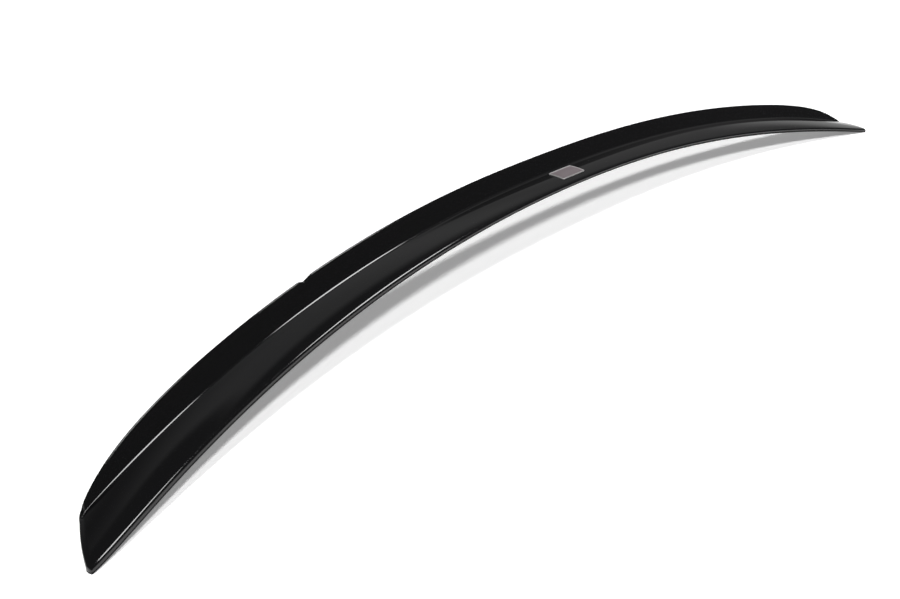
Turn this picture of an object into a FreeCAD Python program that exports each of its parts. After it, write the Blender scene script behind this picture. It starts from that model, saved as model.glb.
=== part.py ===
import FreeCAD, Part
import math
import os

# Lip spoiler for a boot lid: a thin sheet formed into a ledge that is bonded to the lid
# and an upstand that kicks up behind it. All sizes are in millimetres and degrees.
# The origin is the lower edge of the front lip at mid-span. +X runs along the part,
# +Y from the lip towards the upstand, +Z up.

# Plan and crown of the front lip
TIP_SPAN = 1332.0
LIP_BOW = 101.1
LIP_CROWN = 61.9
LIP_BOW_POWER = 2.42
LIP_CROWN_POWER = 1.88

# Plan and crown of the crease between ledge and upstand
CREASE_SPAN = 1296.0
CREASE_BOW = 94.7
CREASE_CROWN = 53.5
CREASE_BOW_POWER = 2.18
CREASE_CROWN_POWER = 2.57

# Ledge at mid-span, from the lip's lower edge to the crease
LEDGE_DEPTH = 35.6
LEDGE_RISE = 7.6
LEDGE_CAMBER = 1.2
RIM_HEIGHT = 5.0
RIM_FLAT_SHARE = 0.3
LIP_RADIUS = 4.0

# Upstand, measured up its slope
UPSTAND_HEIGHT = 24.2
UPSTAND_END_HEIGHT = 2.2
UPSTAND_SLOPE = 55.0
UPSTAND_TAPER_POWER = 14.0
UPSTAND_TAPER_ROUNDNESS = 0.66
CREASE_RADIUS = 5.0

# Sheet and trimmed edges
SHEET = 3.0
END_EDGE_RADIUS = 2.4

# Nick in the upstand's top edge
NICK_X = -396.0
NICK_LENGTH = 18.0
NICK_DEPTH = 2.2
NICK_STEEP_SHARE = 0.33

# Blank plate stuck on the ledge
BADGE_X = 10.0
BADGE_Y = 21.5
BADGE_LENGTH = 43.0
BADGE_WIDTH = 23.0
BADGE_THICKNESS = 1.0
BADGE_CORNER = 3.0
GLUE_FILM = 0.1

# Sections from mid-span to each end, closer together towards the end, and round each end's edge
SECTIONS_PER_SIDE = 6
END_EDGE_STEPS = 3

Vector = FreeCAD.Vector


def unit(angle):
    """Unit vector in a section plane, as (across, up), at an angle in radians."""
    return math.cos(angle), math.sin(angle)


def step(point, direction, distance):
    """Point in a section plane moved along a direction."""
    return point[0] + direction[0] * distance, point[1] + direction[1] * distance


def guides(station):
    """Lip and crease points at a station from -1 to 1 along the part."""
    reach = abs(station)
    lip = Vector(TIP_SPAN / 2 * station,
                 -LIP_BOW * reach ** LIP_BOW_POWER,
                 -LIP_CROWN * reach ** LIP_CROWN_POWER)
    crease = Vector(CREASE_SPAN / 2 * station,
                    LEDGE_DEPTH - CREASE_BOW * reach ** CREASE_BOW_POWER,
                    LEDGE_RISE - CREASE_CROWN * reach ** CREASE_CROWN_POWER)
    return lip, crease


def upstand_height(station):
    """Height of the upstand up its slope, which falls away quickly at both ends."""
    taper = max(0.0, 1 - abs(station) ** UPSTAND_TAPER_POWER) ** UPSTAND_TAPER_ROUNDNESS
    return UPSTAND_END_HEIGHT + (UPSTAND_HEIGHT - UPSTAND_END_HEIGHT) * taper


def section_plane(station, beyond=0.0):
    """Function that places (across, up) in space, with the ledge's depth and rise there.

    The plane may lie a distance beyond the station, towards the nearer end."""
    lip, crease = guides(station)
    across = Vector(crease.x - lip.x, crease.y - lip.y, 0)
    depth = across.Length
    across.normalize()
    along = across.cross(Vector(0, 0, 1))
    origin = lip + along * math.copysign(beyond, station)

    def place(point):
        return origin + across * point[0] + Vector(0, 0, point[1])

    return place, depth, crease.z - lip.z


def section(station, inset=0.0, beyond=0.0):
    """Closed wire of the sheet's section: outer skin from rim to top edge, then the inner skin back.

    An inset thins the sheet from its outer skin."""
    place, depth, rise = section_plane(station, beyond)
    edge_radius = (SHEET - inset) / 2
    height = upstand_height(station) - SHEET / 2
    crease_radius = CREASE_RADIUS * height / (UPSTAND_HEIGHT - SHEET / 2)

    slope = math.radians(UPSTAND_SLOPE)
    chord = math.atan2(rise - RIM_HEIGHT, depth)
    chord_length = math.hypot(depth, rise - RIM_HEIGHT)
    camber = 2 * math.atan(2 * LEDGE_CAMBER / chord_length)
    lip_angle = chord + camber
    crease_angle = chord - camber
    vertical = math.pi / 2

    lip_corner = (0, RIM_HEIGHT)
    crease_corner = (depth, rise)
    lip_turn = math.tan((vertical - lip_angle) / 2)
    lip_radius = min(LIP_RADIUS, RIM_HEIGHT * (1 - RIM_FLAT_SHARE) / lip_turn)
    lip_tangent = lip_radius * lip_turn
    crease_tangent = crease_radius * math.tan((slope - crease_angle) / 2)

    rim_foot = (0, 0)
    rim_head = step(lip_corner, unit(vertical), -lip_tangent)
    ledge_front = step(lip_corner, unit(lip_angle), lip_tangent)
    ledge_back = step(crease_corner, unit(crease_angle), -crease_tangent)
    upstand_foot = step(crease_corner, unit(slope), crease_tangent)
    handle = math.dist(ledge_front, ledge_back) / 3

    def skin(offset, reach):
        """Points of the skin that lies an offset inside the outer one, up to its reach on the upstand."""
        def inside(point, angle):
            return step(point, unit(angle - vertical), offset)

        front = inside(ledge_front, lip_angle)
        back = inside(ledge_back, crease_angle)
        lip_middle = (vertical + lip_angle) / 2
        lip_centre = step(ledge_front, unit(lip_angle - vertical), lip_radius)
        crease_middle = (slope + crease_angle) / 2
        crease_centre = step(ledge_back, unit(crease_angle + vertical), crease_radius)
        return {
            "rim_foot": inside(rim_foot, vertical),
            "rim_head": inside(rim_head, vertical),
            "lip_mid": step(lip_centre, unit(lip_middle + vertical), lip_radius - offset),
            "front": front,
            "front_handle": step(front, unit(lip_angle), handle),
            "back_handle": step(back, unit(crease_angle), -handle),
            "back": back,
            "crease_mid": step(crease_centre, unit(crease_middle - vertical), crease_radius + offset),
            "upstand_foot": inside(upstand_foot, slope),
            "upstand_top": inside(step(crease_corner, unit(slope), reach), slope),
        }

    outer = skin(inset, height)
    inner = skin(SHEET, height + edge_radius)
    top_centre = step(outer["upstand_top"], unit(slope - vertical), edge_radius)
    top_mid = step(top_centre, unit(slope + vertical / 2), edge_radius)
    top_end = step(top_centre, unit(slope), edge_radius)

    def line(start, end):
        return Part.makeLine(place(start), place(end))

    def arc(start, middle, end):
        return Part.Arc(place(start), place(middle), place(end)).toShape()

    def skin_edges(points):
        ledge = Part.BezierCurve()
        ledge.setPoles([place(points[name]) for name in ("front", "front_handle", "back_handle", "back")])
        return [
            line(points["rim_foot"], points["rim_head"]),
            arc(points["rim_head"], points["lip_mid"], points["front"]),
            ledge.toShape(),
            arc(points["back"], points["crease_mid"], points["upstand_foot"]),
            line(points["upstand_foot"], points["upstand_top"]),
        ]

    edges = skin_edges(outer)
    edges.append(arc(outer["upstand_top"], top_mid, top_end))
    edges.append(line(top_end, inner["upstand_top"]))
    edges.extend(reversed(skin_edges(inner)))
    edges.append(line(inner["rim_foot"], outer["rim_foot"]))
    return Part.Wire(Part.__sortEdges__(edges))


def stations():
    """Stations from end to end, spaced by equal turns of a half circle."""
    count = SECTIONS_PER_SIDE
    return [math.sin(math.pi / 2 * index / count) for index in range(-count, count + 1)]


def rounded_end(station):
    """Thin rim that rounds off the trimmed edge at one end."""
    turns = [math.pi / 2 * index / END_EDGE_STEPS for index in range(END_EDGE_STEPS + 1)]
    return Part.makeLoft([
        section(station, END_EDGE_RADIUS * (1 - math.cos(turn)), END_EDGE_RADIUS * math.sin(turn))
        for turn in turns
    ], True, False)


def nick():
    """Wedge that cuts the small nick in the upstand's top edge."""
    station = NICK_X / (CREASE_SPAN / 2)
    slope = math.radians(UPSTAND_SLOPE)

    def top_edge(where):
        place, depth, rise = section_plane(where)
        return place(step((depth, rise), unit(slope), upstand_height(where)))

    place = section_plane(station)[0]
    small = NICK_LENGTH / CREASE_SPAN
    along = top_edge(station + small) - top_edge(station - small)
    along.normalize()
    up = place(unit(slope)) - place((0, 0))
    normal = along.cross(up)
    normal.normalize()
    edge = top_edge(station)
    start = edge - along * NICK_LENGTH * NICK_STEEP_SHARE
    end = edge + along * NICK_LENGTH * (1 - NICK_STEEP_SHARE)
    lift = up * NICK_DEPTH
    outline = [start, edge - lift, end, end + lift, start + lift, start]
    face = Part.Face(Part.makePolygon([point - normal * SHEET * 2 for point in outline]))
    return face.extrude(normal * SHEET * 4)


def spoiler_shell():
    """The formed sheet, lofted from end to end."""
    span = stations()
    loft = Part.makeLoft([section(station) for station in span], True, False)
    return loft.fuse([rounded_end(span[0]), rounded_end(span[-1])]).cut(nick())


def badge_plate(shell):
    """Blank plate with round corners that follows the ledge under it."""
    low = Vector(BADGE_X - BADGE_LENGTH / 2, BADGE_Y - BADGE_WIDTH / 2, 0)
    block = Part.makeBox(BADGE_LENGTH, BADGE_WIDTH, LEDGE_RISE + RIM_HEIGHT + UPSTAND_HEIGHT, low)
    upright = [edge for edge in block.Edges if edge.BoundBox.ZLength > BADGE_WIDTH]
    block = block.makeFillet(BADGE_CORNER, upright)
    under = shell.translated(Vector(0, 0, GLUE_FILM))
    over = shell.translated(Vector(0, 0, GLUE_FILM + BADGE_THICKNESS))
    return block.common(over).cut(under)


os.makedirs("parts", exist_ok=True)
shell_shape = spoiler_shell()
shell_shape.exportStep("parts/spoiler_shell.step")
badge_plate(shell_shape).exportStep("parts/badge_plate.step")
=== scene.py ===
import math

import bmesh
import bpy
from mathutils import Matrix, Vector

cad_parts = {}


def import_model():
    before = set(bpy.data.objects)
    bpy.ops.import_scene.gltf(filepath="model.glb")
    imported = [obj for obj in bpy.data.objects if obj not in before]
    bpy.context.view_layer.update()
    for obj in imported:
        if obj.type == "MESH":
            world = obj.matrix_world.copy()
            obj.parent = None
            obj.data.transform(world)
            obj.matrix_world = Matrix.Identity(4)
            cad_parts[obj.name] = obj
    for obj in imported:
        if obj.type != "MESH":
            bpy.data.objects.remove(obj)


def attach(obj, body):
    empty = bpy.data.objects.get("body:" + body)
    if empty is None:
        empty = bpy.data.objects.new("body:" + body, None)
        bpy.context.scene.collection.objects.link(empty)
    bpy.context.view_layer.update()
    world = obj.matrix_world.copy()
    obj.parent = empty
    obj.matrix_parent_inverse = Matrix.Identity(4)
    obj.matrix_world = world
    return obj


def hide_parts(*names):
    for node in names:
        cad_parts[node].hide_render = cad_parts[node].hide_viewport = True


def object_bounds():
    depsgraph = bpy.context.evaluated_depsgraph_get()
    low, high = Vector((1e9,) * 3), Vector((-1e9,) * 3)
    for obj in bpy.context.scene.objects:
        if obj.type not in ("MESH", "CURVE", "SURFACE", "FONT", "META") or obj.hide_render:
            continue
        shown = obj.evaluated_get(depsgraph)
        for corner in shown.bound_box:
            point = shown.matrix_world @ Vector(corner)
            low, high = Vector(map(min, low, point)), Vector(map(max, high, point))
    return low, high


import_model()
CAD_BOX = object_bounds()

MM = 0.001
VERTICAL = math.pi / 2
UP = Vector((0, 0, 1))
QUARTERS = ((1, 1), (-1, 1), (-1, -1), (1, -1))

# The sheet and the badge are drawn in millimetres and degrees, with the sizes of the solids
# and finer ends and edges.

# Plan and crown of the front lip, and how much fuller it is near the ends
TIP_SPAN = 1332.0
HALF_SPAN = TIP_SPAN / 2
LIP_BOW = 101.1
LIP_BOW_POWER = 2.42
LIP_CROWN = 61.9
LIP_CROWN_POWER = 1.88
LIP_FULLNESS = 4.0
LIP_FULL_POWER = 8
LIP_FULL_END_POWER = 30

# Plan and crown of the crease between ledge and upstand, and its drop at the ends
CREASE_SPAN = 1296.0
HALF_CREASE = CREASE_SPAN / 2
CREASE_BOW = 94.7
CREASE_BOW_POWER = 2.18
CREASE_CROWN = 53.5
CREASE_CROWN_POWER = 2.57
CREASE_END_DROP = 2.5
CREASE_END_POWER = 10

# Ledge at mid-span, from the lip's lower edge to the crease
LEDGE_DEPTH = 35.6
LEDGE_RISE = 7.6
LEDGE_CAMBER = 1.2
RIM_HEIGHT = 5.0
LIP_RADIUS = 4.0

# Upstand, measured up its slope
UPSTAND_HEIGHT = 24.2
UPSTAND_END_HEIGHT = 2.2
UPSTAND_SLOPE = 55.0
UPSTAND_TAPER_POWER = 18.0
UPSTAND_TAPER_ROUNDNESS = 0.75
CREASE_RADIUS = 5.0

# Sheet, and the edges of the rim's foot and of the upstand's back, each at most a share of the thickness
SHEET = 3.0
FOOT_RADIUS = 0.9
FOOT_SHARE = 0.5
FOOT_BACK_RADIUS = 0.6
FOOT_BACK_SHARE = 0.3
BACK_RADIUS = 0.5
BACK_SHARE = 0.25

# Ends: the outer skin turns down, the corners are round in plan, and the edge between them bows out
END_EDGE_RADIUS = 2.4
END_EDGE_WIDTH = 5.0
END_CORNER_RADIUS = 7.0
TIP_CORNER_RADIUS = 4.0
END_BOW = 1.2
END_BOW_LENGTH = 60.0

# Nick in the upstand's top edge
NICK_X = -396.0
NICK_LENGTH = 18.0
NICK_DEPTH = 2.2
NICK_STEEP_SHARE = 0.33

# Blank plate stuck on the ledge, with a raised frame round a sunk field
BADGE_X = 10.0
BADGE_Y = 21.5
BADGE_LENGTH = 43.0
BADGE_WIDTH = 23.0
BADGE_THICKNESS = 1.0
BADGE_CORNER = 3.0
BADGE_FRAME = 1.5
BADGE_SINK = 0.3
BADGE_EDGE = 0.25
BADGE_BEVEL_SHARE = 0.3
BADGE_FIELD_SHARES = (0.8, 0.55, 0.3)
GLUE_FILM = 0.1

# Fineness of the smooth mesh
STATIONS = 520
NICK_STATIONS = 40
END_STEPS = 8
RIM_STEPS = 2
LIP_STEPS = 12
LEDGE_STEPS = 14
CREASE_STEPS = 8
UPSTAND_STEPS = 10
EDGE_STEPS = 6
BACK_STEPS = 3
FOOT_STEPS = 4
BADGE_CORNER_STEPS = 6
BADGE_SIDE_STEPS = 10

# Order of the materials on the sheet and on the badge, and the depth of their relief in metres
GLOSS, SATIN, TRIM = range(3)
BADGE_RAISED, BADGE_SUNK = range(2)
RELIEF = 0.0002

# Camera for a frame of 900 by 599: place and near limit in metres, lens and sensor in millimetres
CAMERA_AT = (-0.8311, -0.5595, 0.3536)
CAMERA_AIM = (0.65906, 0.60084, -0.45236)
CAMERA_LENS = 36.0
CAMERA_SENSOR = 36.0
CAMERA_NEAR = 0.01

# Floor: half its size in metres, its colour, and the light added to what the camera and mirrors see
FLOOR_HALF = 30.0
FLOOR_WHITE = 0.95
FLOOR_LIFT = 0.22

# Lamps: a key level or a strip radiance of 1 makes white, angles in degrees, lengths in metres
KEY_LEVEL = 0.57
KEY_ANGLE = 7.0
KEY_OVERHEAD = (-0.5, -0.24, 1.0)
KEY_FRONT = (-0.8, -0.8, 1.0)
STRIP_AIM = (-0.4, 0.0, 0.0)
STRIP_DISTANCE = 5.0
STRIP_RADIANCE = 15.0

# Brightness of the studio's room and of what is added to it
ROOM = 0.085
WALL = 0.125
PANEL = 0.27
GLOW = 0.45
HORIZON = 0.8

# Edges in the studio, from nothing to full, as cosines to straight up, to the right or straight ahead
WALL_TOP = (0.80, 0.55)
WALL_RIGHT = (0.85, 0.6)
WALL_BACK = (0.1, 0.4)
PANEL_LOW = (0.45, 0.75)
PANEL_TOP = (0.925, 0.90)
PANEL_RIGHT = (0.26, 0.17)
PANEL_LEFT = (-0.45, 0.05)
PANEL_BACK = (0.0, 0.2)
HORIZON_TOP = (0.16, 0.08)

# Glow: elevation and azimuth of its middle, and its reach, in degrees
GLOW_AT = (11.0, 35.0)
GLOW_REACH = 14.0


def unit(angle):
    """Unit vector in a plane, as (across, up), at an angle in radians."""
    return math.cos(angle), math.sin(angle)


def step(point, direction, distance):
    """Point in a plane moved along a direction."""
    return point[0] + direction[0] * distance, point[1] + direction[1] * distance


def run(start, end, count):
    """Points of a straight run in a plane, without the last."""
    return [(start[0] + (end[0] - start[0]) * index / count,
             start[1] + (end[1] - start[1]) * index / count) for index in range(count)]


def sweep(centre, radius, start, end, count):
    """Points of an arc in a plane, from one angle to another, without the last."""
    return [step(centre, unit(start + (end - start) * index / count), radius) for index in range(count)]


def bezier(poles, count):
    """Points of a cubic curve in a plane, without the last."""
    points = []
    for index in range(count):
        share = index / count
        rest = 1 - share
        weights = (rest ** 3, 3 * share * rest ** 2, 3 * share ** 2 * rest, share ** 3)
        across = sum(weight * pole[0] for weight, pole in zip(weights, poles))
        up = sum(weight * pole[1] for weight, pole in zip(weights, poles))
        points.append((across, up))
    return points


def guides(station):
    """Lip and crease points, in millimetres, at a station from -1 to 1 along the part."""
    reach = abs(station)
    fullness = LIP_FULLNESS * reach ** LIP_FULL_POWER * (1 - reach ** LIP_FULL_END_POWER)
    lip = Vector((HALF_SPAN * station,
                  -LIP_BOW * reach ** LIP_BOW_POWER - fullness,
                  -LIP_CROWN * reach ** LIP_CROWN_POWER))
    drop = CREASE_END_DROP * reach ** CREASE_END_POWER
    crease = Vector((HALF_CREASE * station,
                     LEDGE_DEPTH - CREASE_BOW * reach ** CREASE_BOW_POWER,
                     LEDGE_RISE - CREASE_CROWN * reach ** CREASE_CROWN_POWER - drop))
    return lip, crease


def upstand_height(station, beyond):
    """Height of the upstand up its slope, which falls away quickly towards the very end of the part."""
    reach = (HALF_SPAN * abs(station) + beyond) / (HALF_SPAN + END_EDGE_RADIUS)
    taper = max(0.0, 1 - reach ** UPSTAND_TAPER_POWER) ** UPSTAND_TAPER_ROUNDNESS
    return UPSTAND_END_HEIGHT + (UPSTAND_HEIGHT - UPSTAND_END_HEIGHT) * taper


def nick_depth(station):
    """Depth of the nick in the upstand's top edge at a station."""
    along = HALF_CREASE * station - NICK_X
    steep = NICK_LENGTH * NICK_STEEP_SHARE
    shallow = NICK_LENGTH - steep
    share = 1 + along / steep if along < 0 else 1 - along / shallow
    return NICK_DEPTH * max(0.0, share)


def ledge_shape(station):
    """Depth, rise and end angles of the ledge at a station."""
    lip, crease = guides(station)
    depth = math.hypot(crease.x - lip.x, crease.y - lip.y)
    rise = crease.z - lip.z
    chord = math.atan2(rise - RIM_HEIGHT, depth)
    camber = 2 * math.atan(2 * LEDGE_CAMBER / math.hypot(depth, rise - RIM_HEIGHT))
    return depth, rise, chord + camber, chord - camber


def section(station, inset=0.0, beyond=0.0):
    """Closed loop of (across, up) points, as outer skin, top edge, inner skin and foot.

    An inset thins the sheet from its outer skin, and the section may lie beyond the station."""
    depth, rise, lip_angle, crease_angle = ledge_shape(station)
    slope = math.radians(UPSTAND_SLOPE)
    thickness = SHEET - inset
    edge_radius = thickness / 2
    back_radius = min(BACK_RADIUS, thickness * BACK_SHARE)
    foot_radius = min(FOOT_RADIUS, thickness * FOOT_SHARE)
    foot_back_radius = min(FOOT_BACK_RADIUS, thickness * FOOT_BACK_SHARE)
    full_height = upstand_height(station, beyond) - SHEET / 2
    height = full_height - nick_depth(station)
    crease_radius = CREASE_RADIUS * full_height / (UPSTAND_HEIGHT - SHEET / 2)

    lip_corner = (0, RIM_HEIGHT)
    crease_corner = (depth, rise)
    lip_tangent = LIP_RADIUS * math.tan((VERTICAL - lip_angle) / 2)
    crease_tangent = crease_radius * math.tan((slope - crease_angle) / 2)
    rim_head = step(lip_corner, unit(VERTICAL), -lip_tangent)
    ledge_front = step(lip_corner, unit(lip_angle), lip_tangent)
    ledge_back = step(crease_corner, unit(crease_angle), -crease_tangent)
    upstand_foot = step(crease_corner, unit(slope), crease_tangent)
    lip_centre = step(ledge_front, unit(lip_angle - VERTICAL), LIP_RADIUS)
    crease_centre = step(ledge_back, unit(crease_angle + VERTICAL), crease_radius)
    handle = math.dist(ledge_front, ledge_back) / 3

    def skin(offset, start, reach):
        """Points up the skin an offset inside the outer one, from its start on the rim to its reach."""
        def inside(point, angle):
            """Point moved in from the outer skin, where it runs at an angle."""
            return step(point, unit(angle - VERTICAL), offset)

        front = inside(ledge_front, lip_angle)
        back = inside(ledge_back, crease_angle)
        front_handle = step(front, unit(lip_angle), handle)
        back_handle = step(back, unit(crease_angle), -handle)
        upstand_top = inside(step(crease_corner, unit(slope), reach), slope)
        points = run(inside((0, start), VERTICAL), inside(rim_head, VERTICAL), RIM_STEPS)
        points += sweep(lip_centre, LIP_RADIUS - offset, 2 * VERTICAL, lip_angle + VERTICAL, LIP_STEPS)
        points += bezier((front, front_handle, back_handle, back), LEDGE_STEPS)
        points += sweep(crease_centre, crease_radius + offset,
                        crease_angle - VERTICAL, slope - VERTICAL, CREASE_STEPS)
        points += run(inside(upstand_foot, slope), upstand_top, UPSTAND_STEPS)
        points.append(upstand_top)
        return points

    outer = skin(inset, foot_radius, height)
    inner = skin(SHEET, foot_back_radius, height + edge_radius - back_radius)

    top_centre = step(outer[-1], unit(slope - VERTICAL), edge_radius)
    back_centre = step(inner[-1], unit(slope - VERTICAL), -back_radius)
    top = sweep(top_centre, edge_radius, slope + VERTICAL, slope, EDGE_STEPS)[1:]
    top.append(step(top_centre, unit(slope), edge_radius))
    top += sweep(back_centre, back_radius, slope, slope - VERTICAL, BACK_STEPS)

    foot_back = (SHEET - foot_back_radius, foot_back_radius)
    foot_front = (inset + foot_radius, foot_radius)
    foot = sweep(foot_back, foot_back_radius, 0.0, -VERTICAL, FOOT_STEPS)[1:]
    foot.append((foot_back[0], 0.0))
    foot += sweep(foot_front, foot_radius, -VERTICAL, -2 * VERTICAL, FOOT_STEPS)
    return outer, top, inner[::-1], foot


def end_inset(distance):
    """How far the outer skin has turned down at a distance from the very end of the part."""
    share = max(0.0, 1 - distance / END_EDGE_WIDTH)
    return END_EDGE_RADIUS * (1 - math.sqrt(1 - share ** 2))


def end_corner(distance, radius):
    """How far a round corner has turned in at a distance from the very end of the part."""
    side = max(0.0, radius - distance)
    return radius - math.sqrt(radius ** 2 - side ** 2)


def place(station, points, beyond, bow):
    """Section points in space, in metres, moved beyond the station and bowed out in a parabola."""
    lip, crease = guides(station)
    across = Vector((crease.x - lip.x, crease.y - lip.y, 0)).normalized()
    outward = across.cross(UP) * math.copysign(1, station)
    reach = max(point[0] for point in points)
    placed = []
    for across_by, up_by in points:
        share = across_by / reach
        out_by = beyond + bow * 4 * share * (1 - share)
        placed.append((lip + outward * out_by + across * across_by + UP * up_by) * MM)
    return placed


def station_list():
    """Stations from end to end, closer together at the ends and round the nick."""
    spread = [math.sin(VERTICAL * (2 * index / STATIONS - 1)) for index in range(STATIONS + 1)]
    centre = NICK_X / HALF_CREASE
    width = NICK_LENGTH / HALF_CREASE
    low, high = centre - width, centre + width
    fine = [low + (high - low) * index / NICK_STATIONS for index in range(NICK_STATIONS + 1)]
    return sorted([station for station in spread if not low < station < high] + fine)


def sheet_loop(station, beyond=0.0):
    """Points round the sheet at a station, in metres, with the ends rounded off."""
    distance = END_EDGE_RADIUS - beyond + HALF_SPAN * (1 - abs(station))
    stretches = section(station, end_inset(distance), beyond)
    points = [point for stretch in stretches for point in stretch]
    reach = max(point[0] for point in points)
    front = end_corner(distance, TIP_CORNER_RADIUS)
    narrow = 1 - (front + end_corner(distance, END_CORNER_RADIUS)) / reach
    bow = END_BOW * max(0.0, 1 - distance / END_BOW_LENGTH) ** 2
    return place(station, [(front + across * narrow, up) for across, up in points], beyond, bow)


def add_object(name, data):
    """New object in the scene that holds a mesh, a lamp or a camera."""
    holder = bpy.data.objects.new(name, data)
    bpy.context.collection.objects.link(holder)
    return holder


def add_piece(name, bm):
    """New piece from a finished bmesh, with its faces turned outwards."""
    bmesh.ops.recalc_face_normals(bm, faces=bm.faces)
    mesh = bpy.data.meshes.new(name)
    bm.to_mesh(mesh)
    bm.free()
    return add_object(name, mesh)


def quads(bm, rings):
    """Smooth faces between each ring of vertices and the next, as (level, index, face)."""
    count = len(rings[0])
    for level, (ring, after) in enumerate(zip(rings, rings[1:])):
        for index in range(count):
            other = (index + 1) % count
            face = bm.faces.new((ring[index], ring[other], after[other], after[index]))
            face.smooth = True
            yield level, index, face


def shell_piece():
    """The formed sheet as one closed mesh: gloss outside, satin inside and matte along the cut lip."""
    span = station_list()
    turns = [VERTICAL * index / END_STEPS for index in range(1, END_STEPS + 1)]
    beyonds = [END_EDGE_RADIUS * math.sin(turn) for turn in turns]
    loops = [sheet_loop(span[0], beyond) for beyond in reversed(beyonds)]
    loops += [sheet_loop(station) for station in span]
    loops += [sheet_loop(span[-1], beyond) for beyond in beyonds]

    outer, top, inner, _ = section(0.0)
    outer_end = len(outer) - 1
    inner_start = len(outer) + len(top)
    inner_end = inner_start + len(inner) - 1

    def finish(index):
        """Material of the faces that start at an index of the loop."""
        if inner_start <= index < inner_end:
            return SATIN
        if index < RIM_STEPS or index >= inner_end:
            return TRIM
        return GLOSS

    bm = bmesh.new()
    rings = [[bm.verts.new(point) for point in loop] for loop in loops]
    for _, index, face in quads(bm, rings):
        face.material_index = finish(index)
    for ring in (rings[0], rings[-1]):
        facing = ring[inner_end:inner_start - 1:-1]
        for index in range(outer_end):
            bm.faces.new((ring[index], ring[index + 1], facing[index + 1], facing[index]))
        bm.faces.new(ring[outer_end:inner_start + 1])
        bm.faces.new(ring[inner_end:] + ring[:1])
    return add_piece("spoiler_skin", bm)


def badge_outline():
    """Points of the badge's outline in plan, about its middle, with their outward directions."""
    half_length = BADGE_LENGTH / 2 - BADGE_CORNER
    half_width = BADGE_WIDTH / 2 - BADGE_CORNER
    corners = []
    for quarter, (side, front) in enumerate(QUARTERS):
        centre = (side * half_length, front * half_width)
        for index in range(BADGE_CORNER_STEPS + 1):
            outward = unit(VERTICAL * (quarter + index / BADGE_CORNER_STEPS))
            corners.append((step(centre, outward, BADGE_CORNER), outward))
    outline = []
    for (point, outward), (after, _) in zip(corners, corners[1:] + corners[:1]):
        count = BADGE_SIDE_STEPS if math.dist(point, after) > BADGE_CORNER else 1
        outline += [(between, outward) for between in run(point, after, count)]
    return outline


def ledge_top(x, y):
    """Height of the ledge's outer skin near mid-span, in millimetres."""
    station = x / HALF_SPAN
    lip = guides(station)[0]
    depth, rise, lip_angle, crease_angle = ledge_shape(station)
    share = (y - lip.y) / depth
    hump = (math.tan(lip_angle) - math.tan(crease_angle)) / 2 * depth
    return lip.z + RIM_HEIGHT + (rise - RIM_HEIGHT) * share + hump * share * (1 - share)


def badge_piece():
    """Blank plate with a raised frame round a sunk field, following the ledge under it."""
    outline = badge_outline()
    top = GLUE_FILM + BADGE_THICKNESS
    bevel = BADGE_EDGE * BADGE_BEVEL_SHARE
    field_inset = BADGE_FRAME + BADGE_EDGE
    field_height = top - BADGE_SINK
    profile = [(0.0, GLUE_FILM), (0.0, top - BADGE_EDGE), (bevel, top - bevel),
               (BADGE_EDGE, top), (BADGE_FRAME, top), (field_inset, field_height)]

    def narrowed(inset):
        """Outline moved in by an inset."""
        return [step(point, outward, -inset) for point, outward in outline]

    def lifted(points, height):
        """Points in space, in metres, at a height above the ledge."""
        spots = [(BADGE_X + x, BADGE_Y + y) for x, y in points]
        return [Vector((x, y, ledge_top(x, y) + height)) * MM for x, y in spots]

    loops = [lifted(narrowed(inset), height) for inset, height in profile]
    for share in BADGE_FIELD_SHARES:
        shrunk = [(x * share, y * share) for x, y in narrowed(field_inset)]
        loops.append(lifted(shrunk, field_height))

    bm = bmesh.new()
    rings = [[bm.verts.new(point) for point in loop] for loop in loops]
    for level, _, face in quads(bm, rings):
        face.material_index = BADGE_SUNK if level >= len(profile) - 1 else BADGE_RAISED
    middle = bm.faces.new(rings[-1])
    middle.smooth = True
    middle.material_index = BADGE_SUNK
    bm.faces.new(rings[0][::-1])
    return add_piece("badge_blank", bm)


def principled(name, colour):
    """New material of one base colour, with its node tree and Principled shader."""
    material = bpy.data.materials.new(name)
    material.use_nodes = True
    tree = material.node_tree
    shader = tree.nodes["Principled BSDF"]
    shader.inputs["Base Color"].default_value = (*colour, 1)
    return material, tree, shader


def noise(tree, scale, detail, roughness):
    """Noise in object coordinates, so that it stays on the part."""
    where = tree.nodes.new("ShaderNodeTexCoord")
    node = tree.nodes.new("ShaderNodeTexNoise")
    node.inputs["Scale"].default_value = scale
    node.inputs["Detail"].default_value = detail
    node.inputs["Roughness"].default_value = roughness
    tree.links.new(where.outputs["Object"], node.inputs["Vector"])
    return node.outputs["Fac"]


def vary_roughness(tree, shader, source, stops):
    """Roughness that follows a noise, between two stops of (noise, roughness)."""
    node = tree.nodes.new("ShaderNodeValToRGB")
    for element, (position, value) in zip(node.color_ramp.elements, stops):
        element.position = position
        element.color = (value, value, value, 1)
    tree.links.new(source, node.inputs["Fac"])
    tree.links.new(node.outputs["Color"], shader.inputs["Roughness"])


def add_relief(tree, shader, source, strength):
    """Fine relief that follows a noise."""
    node = tree.nodes.new("ShaderNodeBump")
    node.inputs["Strength"].default_value = strength
    node.inputs["Distance"].default_value = RELIEF
    tree.links.new(source, node.inputs["Height"])
    tree.links.new(node.outputs["Normal"], shader.inputs["Normal"])


def combine(tree, operation, first, second):
    """Result of a Math node on two sockets, or on a socket and a plain number."""
    node = tree.nodes.new("ShaderNodeMath")
    node.operation = operation
    for socket, value in zip(node.inputs, (first, second)):
        if isinstance(value, float):
            socket.default_value = value
        else:
            tree.links.new(value, socket)
    return node.outputs[0]


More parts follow.
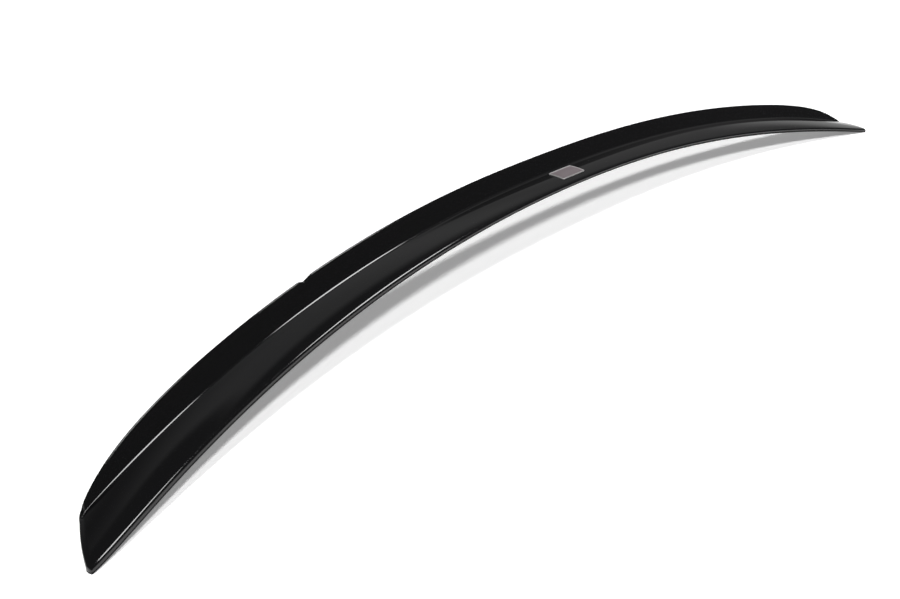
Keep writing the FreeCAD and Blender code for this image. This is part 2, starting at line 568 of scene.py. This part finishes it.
def gloss_black():
    """High-gloss black sheet: faint orange peel, and fine dust that dulls it a little."""
    material, tree, shader = principled("gloss_black_sheet", colour=(0.0025, 0.0025, 0.0028))
    shader.inputs["IOR"].default_value = 1.5
    dust = noise(tree, scale=900.0, detail=3.0, roughness=0.6)
    vary_roughness(tree, shader, dust, stops=((0.45, 0.05), (0.75, 0.11)))
    peel = noise(tree, scale=260.0, detail=2.0, roughness=0.5)
    add_relief(tree, shader, peel, strength=0.02)
    return material


def satin_black():
    """Underside of the sheet, as it left the mould: satin, with a fine grain."""
    material, tree, shader = principled("satin_black_underside", colour=(0.012, 0.012, 0.0125))
    grain = noise(tree, scale=1800.0, detail=4.0, roughness=0.6)
    vary_roughness(tree, shader, grain, stops=((0.3, 0.38), (0.7, 0.52)))
    add_relief(tree, shader, grain, strength=0.15)
    return material


def matte_black():
    """Trimmed edge of the sheet along the lip: cut, so matte, with fine tool marks."""
    material, tree, shader = principled("matte_black_trim", colour=(0.004, 0.004, 0.0042))
    shader.inputs["Specular IOR Level"].default_value = 0.08
    marks = noise(tree, scale=1400.0, detail=3.0, roughness=0.6)
    vary_roughness(tree, shader, marks, stops=((0.3, 0.5), (0.7, 0.65)))
    add_relief(tree, shader, marks, strength=0.2)
    return material


def satin_metal(name, colour, low, high):
    """Satin metal with a fine grain that varies its roughness from low to high."""
    material, tree, shader = principled(name, colour)
    shader.inputs["Metallic"].default_value = 0.35
    grain = noise(tree, scale=1500.0, detail=4.0, roughness=0.6)
    vary_roughness(tree, shader, grain, stops=((0.3, low), (0.7, high)))
    return material


def dress(piece, *materials):
    """Give a piece its materials, in the order that its faces count them."""
    for material in materials:
        piece.data.materials.append(material)


def stage():
    """White floor under the tips. What the camera and mirrors see of it is lifted to white."""
    floor_z = CAD_BOX[0][2]
    mesh = bpy.data.meshes.new("floor")
    corners = [(FLOOR_HALF * side, FLOOR_HALF * front, floor_z) for side, front in QUARTERS]
    mesh.from_pydata(corners, [], [range(len(corners))])
    floor = add_object("floor", mesh)
    material, tree, shader = principled("white_floor", colour=(FLOOR_WHITE, FLOOR_WHITE, FLOOR_WHITE))
    shader.inputs["Roughness"].default_value = 0.9
    shader.inputs["Specular IOR Level"].default_value = 0.0
    shader.inputs["Emission Color"].default_value = (1, 1, 1, 1)
    path = tree.nodes.new("ShaderNodeLightPath")
    seen = path.outputs["Is Camera Ray"]
    for ray in ("Is Glossy Ray", "Is Transmission Ray"):
        seen = combine(tree, "MAXIMUM", seen, path.outputs[ray])
    lift = combine(tree, "MULTIPLY", seen, FLOOR_LIFT)
    tree.links.new(lift, shader.inputs["Emission Strength"])
    dress(floor, material)


def compass(elevation, azimuth):
    """Direction at an elevation and an azimuth to the right of the camera's heading, in degrees."""
    heading = Vector((CAMERA_AIM[0], CAMERA_AIM[1], 0)).normalized()
    right = heading.cross(UP)
    flat = heading * math.cos(math.radians(azimuth)) + right * math.sin(math.radians(azimuth))
    return flat * math.cos(math.radians(elevation)) + UP * math.sin(math.radians(elevation))


def key_light(name, towards):
    """Soft key for the floor and its shadow. The gloss mirrors the strip lamps instead."""
    data = bpy.data.lights.new(name, "SUN")
    aim = Vector(towards).normalized()
    data.energy = KEY_LEVEL * math.pi / aim.z
    data.angle = math.radians(KEY_ANGLE)
    lamp = add_object(name, data)
    lamp.rotation_euler = (-aim).to_track_quat("-Z", "Y").to_euler()
    lamp.visible_glossy = False


def strip_lamp(name, elevation, azimuth, size, roll):
    """Far elliptical lamp that shows only as its mirror image in the gloss."""
    data = bpy.data.lights.new(name, "AREA")
    data.shape = "ELLIPSE"
    data.size, data.size_y = size
    area = math.pi / 4 * size[0] * size[1]
    data.energy = STRIP_RADIANCE * math.pi * area
    back = compass(elevation, azimuth)
    level = UP.cross(back).normalized()
    steep = back.cross(level)
    turn = math.radians(roll)
    side = level * math.cos(turn) + steep * math.sin(turn)
    rise = steep * math.cos(turn) - level * math.sin(turn)
    facing = Matrix((side, rise, back)).transposed().to_4x4()
    lamp = add_object(name, data)
    lamp.matrix_world = Matrix.Translation(Vector(STRIP_AIM) + back * STRIP_DISTANCE) @ facing
    lamp.visible_diffuse = False


def world():
    """Dark studio with a pale wall, a panel and a glow before the camera, and a pale horizon all round."""
    studio = bpy.data.worlds.new("studio")
    bpy.context.scene.world = studio
    studio.use_nodes = True
    tree = studio.node_tree
    background = tree.nodes["Background"]
    where = tree.nodes.new("ShaderNodeTexCoord")

    def towards(direction):
        """Cosine of the angle to a direction."""
        node = tree.nodes.new("ShaderNodeVectorMath")
        node.operation = "DOT_PRODUCT"
        node.inputs[1].default_value = direction
        tree.links.new(where.outputs["Generated"], node.inputs[0])
        return node.outputs["Value"]

    def fade(cosine, edge):
        """Smooth rise from nothing to full over an edge."""
        node = tree.nodes.new("ShaderNodeMapRange")
        node.interpolation_type = "SMOOTHSTEP"
        node.inputs["From Min"].default_value = edge[0]
        node.inputs["From Max"].default_value = edge[1]
        tree.links.new(cosine, node.inputs["Value"])
        return node.outputs["Result"]

    def patch(brightness, *fades):
        """Brightness inside all of some fades."""
        inside = fades[0]
        for other in fades[1:]:
            inside = combine(tree, "MULTIPLY", inside, other)
        return combine(tree, "MULTIPLY", inside, brightness)

    up = towards(UP)
    ahead = towards(compass(elevation=0, azimuth=0))
    right = towards(compass(elevation=0, azimuth=90))
    glow_edge = (math.cos(math.radians(GLOW_REACH)), 1.0)
    patches = [
        patch(WALL, fade(up, WALL_TOP), fade(ahead, WALL_BACK), fade(right, WALL_RIGHT)),
        patch(PANEL, fade(up, PANEL_LOW), fade(up, PANEL_TOP), fade(right, PANEL_RIGHT),
              fade(right, PANEL_LEFT), fade(ahead, PANEL_BACK)),
        patch(GLOW, fade(towards(compass(*GLOW_AT)), glow_edge)),
        patch(HORIZON, fade(up, HORIZON_TOP)),
    ]
    total = ROOM
    for added in patches:
        total = combine(tree, "ADD", total, added)
    tree.links.new(total, background.inputs["Strength"])
    background.inputs["Color"].default_value = (1, 1, 1, 1)


def camera():
    """Camera at the photograph's viewing angle."""
    data = bpy.data.cameras.new("camera")
    data.lens = CAMERA_LENS
    data.sensor_width = CAMERA_SENSOR
    data.clip_start = CAMERA_NEAR
    holder = add_object("camera", data)
    holder.location = CAMERA_AT
    holder.rotation_euler = Vector(CAMERA_AIM).to_track_quat("-Z", "Y").to_euler()
    bpy.context.scene.camera = holder


shell = shell_piece()
dress(shell, gloss_black(), satin_black(), matte_black())
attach(shell, "root")
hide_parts("spoiler_shell")

badge = badge_piece()
dress(badge,
      satin_metal("badge_frame_metal", colour=(0.36, 0.35, 0.35), low=0.32, high=0.44),
      satin_metal("badge_field_metal", colour=(0.20, 0.17, 0.18), low=0.38, high=0.50))
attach(badge, "root")
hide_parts("badge_plate")

stage()
key_light("key_overhead", KEY_OVERHEAD)
key_light("key_front", KEY_FRONT)
strip_lamp("strip_middle", elevation=49.7, azimuth=59.1, size=(1.9, 0.95), roll=26.4)
strip_lamp("strip_end", elevation=61.8, azimuth=88.7, size=(3.2, 1.1), roll=56.9)
world()
camera()

bpy.context.scene.view_settings.view_transform = "Standard"
